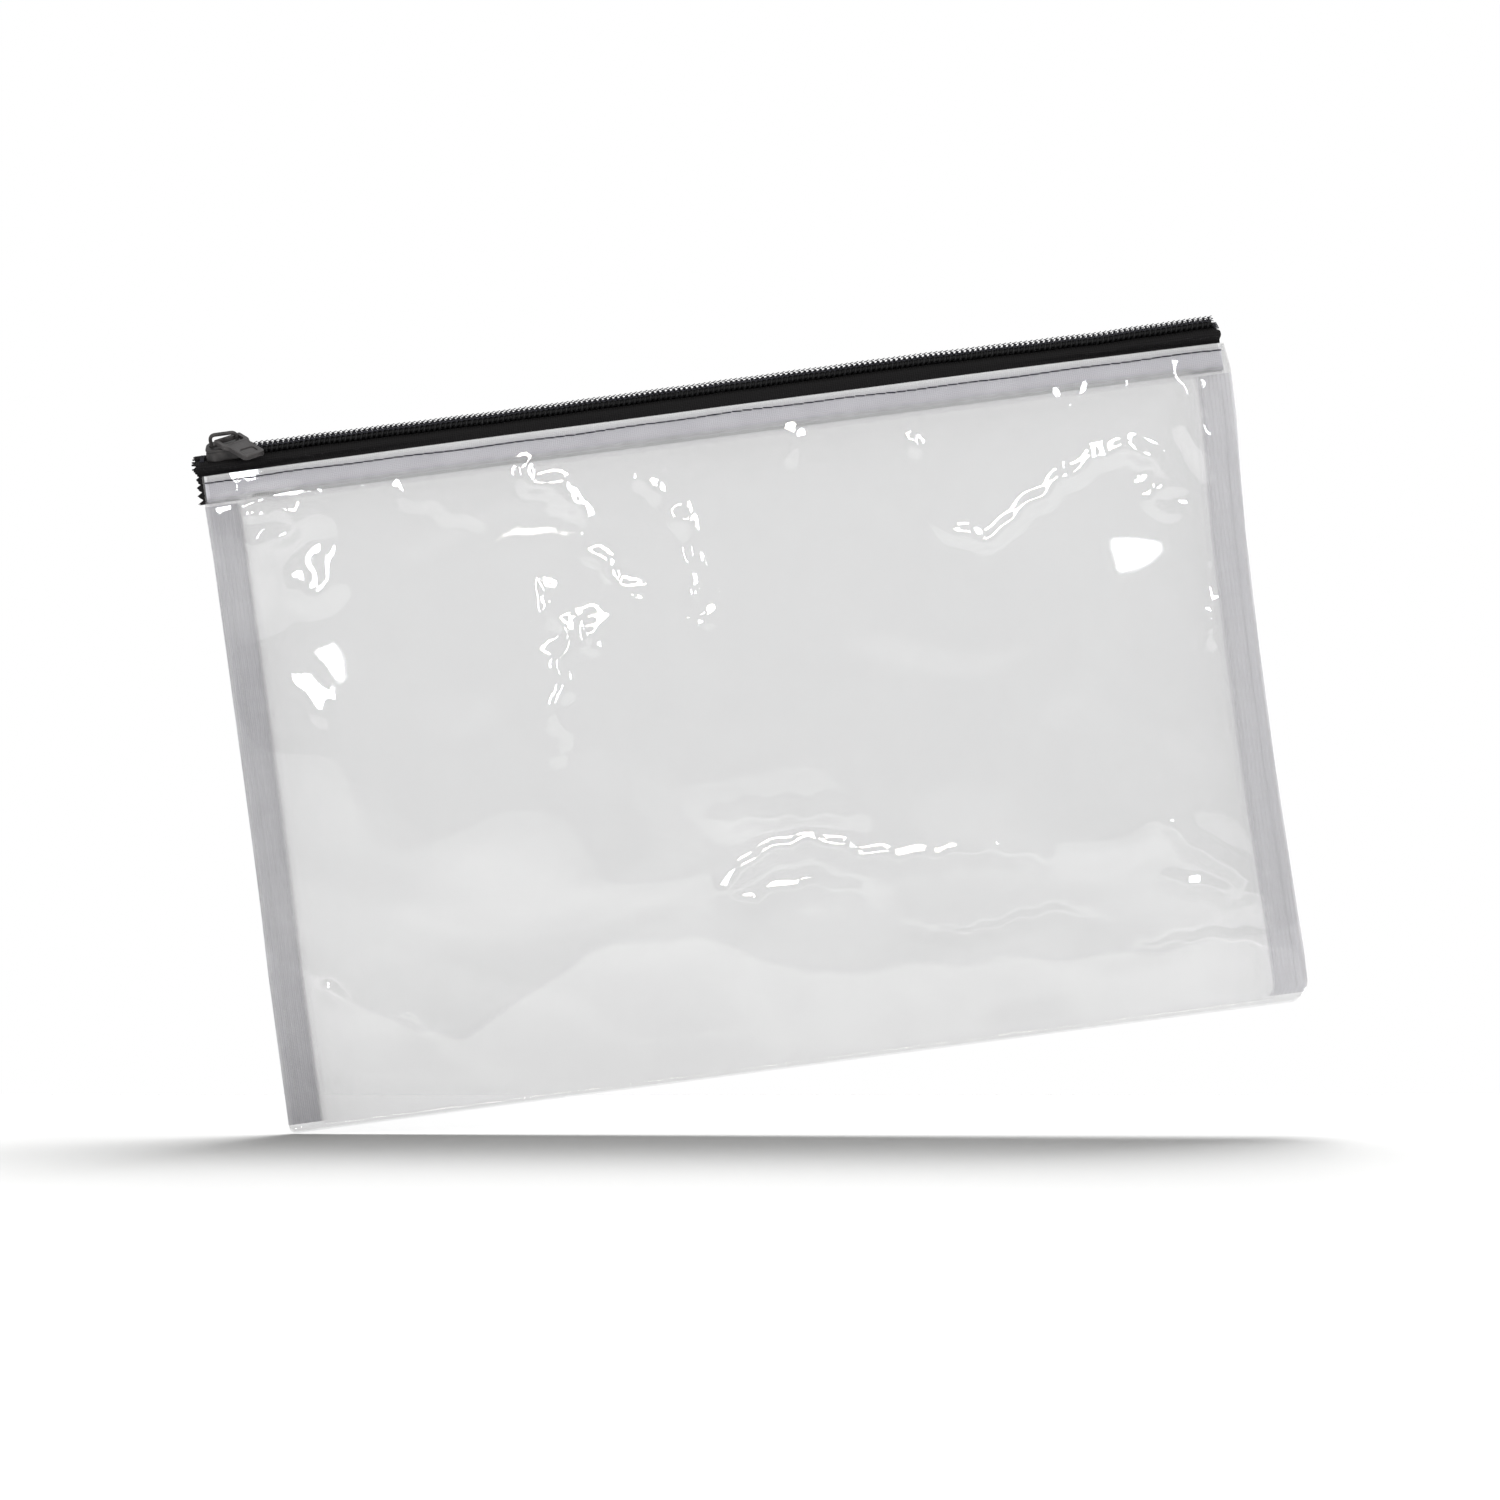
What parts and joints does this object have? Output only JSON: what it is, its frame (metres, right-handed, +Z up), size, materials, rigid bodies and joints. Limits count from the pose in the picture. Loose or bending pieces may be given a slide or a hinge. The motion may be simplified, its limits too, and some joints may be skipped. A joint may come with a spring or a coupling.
{
  "type": "zippered cash deposit bag",
  "caption": "Flat clear film pouch with a folded bottom, turned side seams, a woven facing inside its edges, and a coil zipper along the top with a slider and pull tab.",
  "frame": {"origin": "on the surface that the bottom fold stands on, under the middle of the bag with its pull tab", "axes": "+X to the right along the zipper as seen from the front, +Y to the back, +Z up from the bottom fold to the zipper"},
  "size_m": [0.3064, 0.0209, 0.2093],
  "materials": {
    "clear_film": "glossy, slightly milky clear film",
    "woven_facing": "ribbed woven tape seen through the film",
    "clear_thread": "white sewing thread",
    "black_thread": "black sewing thread",
    "zipper_tape": "black woven zipper tape",
    "zipper_coil": "black nylon monofilament",
    "slider_metal": "charcoal painted zinc casting"
  },
  "bodies": {
    "back_wall": {"back_panel": "clear_film", "back_hem_facing": "woven_facing", "left_seam_binding": "woven_facing", "right_seam_binding": "woven_facing", "left_seam_thread": "clear_thread", "right_seam_thread": "clear_thread", "back_hem_stitch": "black_thread", "back_zipper_tape": "zipper_tape", "back_coil": "zipper_coil", "back_coil_core": "zipper_coil", "back_coil_thread": "black_thread", "left_end_tack": "black_thread", "right_end_tack": "black_thread"},
    "front_wall": {"front_panel": "clear_film", "front_hem_facing": "woven_facing", "front_hem_stitch": "black_thread", "front_zipper_tape": "zipper_tape", "front_coil": "zipper_coil", "front_coil_core": "zipper_coil", "front_coil_thread": "black_thread"},
    "slider": {"slider_body": "slider_metal"},
    "pull": {"pull_tab": "slider_metal"}
  },
  "joints": [
    {"name": "slider_travel", "type": "slide", "parent": "back_wall", "child": "slider", "axis": [1, 0, 0], "range_m": [0, 0.289], "deforming": ["back_coil", "back_coil_core", "back_coil_thread", "front_coil", "front_coil_core", "front_coil_thread", "back_zipper_tape", "front_zipper_tape"]},
    {"name": "mouth_open", "type": "hinge", "parent": "back_wall", "child": "front_wall", "pos_m": [0, 0.0081, 0.0018], "axis": [1, 0, 0], "range_deg": [0, 10]},
    {"name": "pull_swing", "type": "hinge", "parent": "slider", "child": "pull", "pos_m": [-0.14335, 0.0018, 0.20699], "axis": [-0.829, -0.5185, -0.2095], "range_deg": [0, 112]}
  ],
  "couplings": [
    {"joint": "mouth_open", "follows": "slider_travel", "rad_per_m": 0.6}
  ]
}
